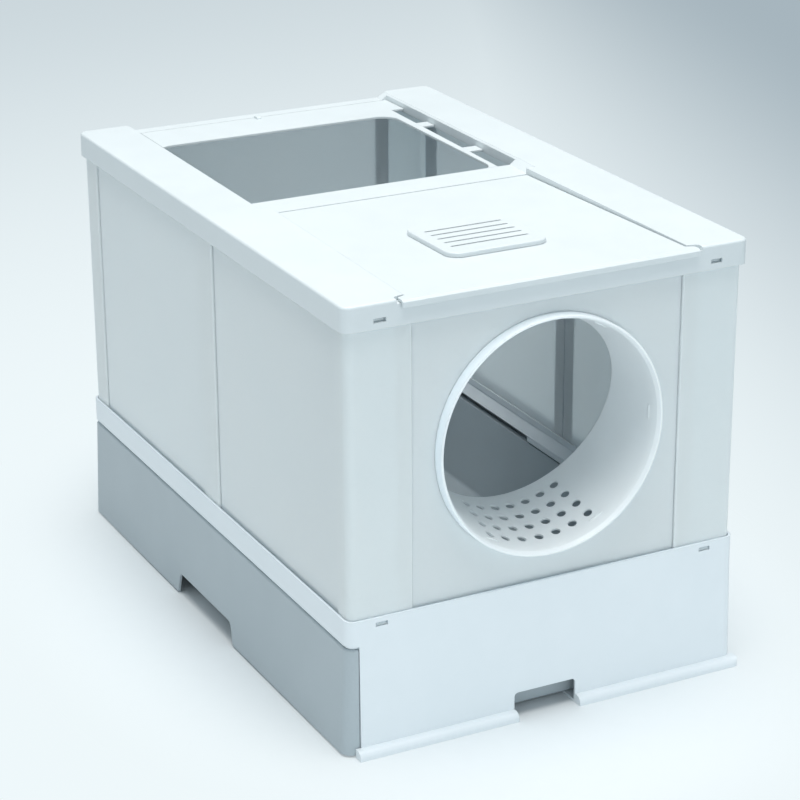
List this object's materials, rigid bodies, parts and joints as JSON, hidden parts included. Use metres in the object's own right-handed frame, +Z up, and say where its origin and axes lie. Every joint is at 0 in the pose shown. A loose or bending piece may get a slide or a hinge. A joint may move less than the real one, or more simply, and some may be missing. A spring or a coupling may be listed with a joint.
{
  "type": "drawer litter box",
  "caption": "Enclosed white cat litter box with a round drip tunnel, lift-up vented front flap, open roof exit and a grey pull-out litter drawer.",
  "frame": {"origin": "middle of the footprint, on the floor", "axes": "+X to the right of someone facing the entry hole, +Y to the back, +Z up; the drawer pulls out towards -X"},
  "size_m": [0.416, 0.65, 0.4313],
  "materials": {
    "lid_white": "satin",
    "base_white": "satin",
    "wall_white": "satin",
    "drawer_grey": "satin",
    "carbon_pad": "matte"
  },
  "bodies": {
    "base": {"base_frame": "base_white", "front_wall": "wall_white", "rear_wall": "wall_white", "post_front_left": "wall_white", "post_front_right": "wall_white", "post_rear_left": "wall_white", "post_rear_right": "wall_white", "left_panel_front": "wall_white", "left_panel_rear": "wall_white", "left_fold_strip": "wall_white", "right_panel_front": "wall_white", "right_panel_rear": "wall_white", "right_fold_strip": "wall_white", "entry_tunnel": "lid_white"},
    "drawer": {"litter_drawer": "drawer_grey"},
    "lid": {"lid_frame": "lid_white", "exit_plate": "lid_white"},
    "flap": {"front_flap": "lid_white", "filter_tray": "lid_white", "charcoal_filter": "carbon_pad"},
    "vent": {"vent_cover": "lid_white"}
  },
  "joints": [
    {"name": "drawer_slide", "type": "slide", "parent": "base", "child": "drawer", "axis": [-1, 0, 0], "range_m": [0, 0.34]},
    {"name": "lid_lift", "type": "slide", "parent": "base", "child": "lid", "axis": [0, 0, 1], "range_m": [0, 0.1]},
    {"name": "flap_hinge", "type": "hinge", "parent": "lid", "child": "flap", "pos_m": [0, -0.0267, 0.42], "axis": [-1, 0, 0], "range_deg": [0, 100]},
    {"name": "vent_lift", "type": "slide", "parent": "flap", "child": "vent", "axis": [0, 0, 1], "range_m": [0, 0.03]}
  ]
}
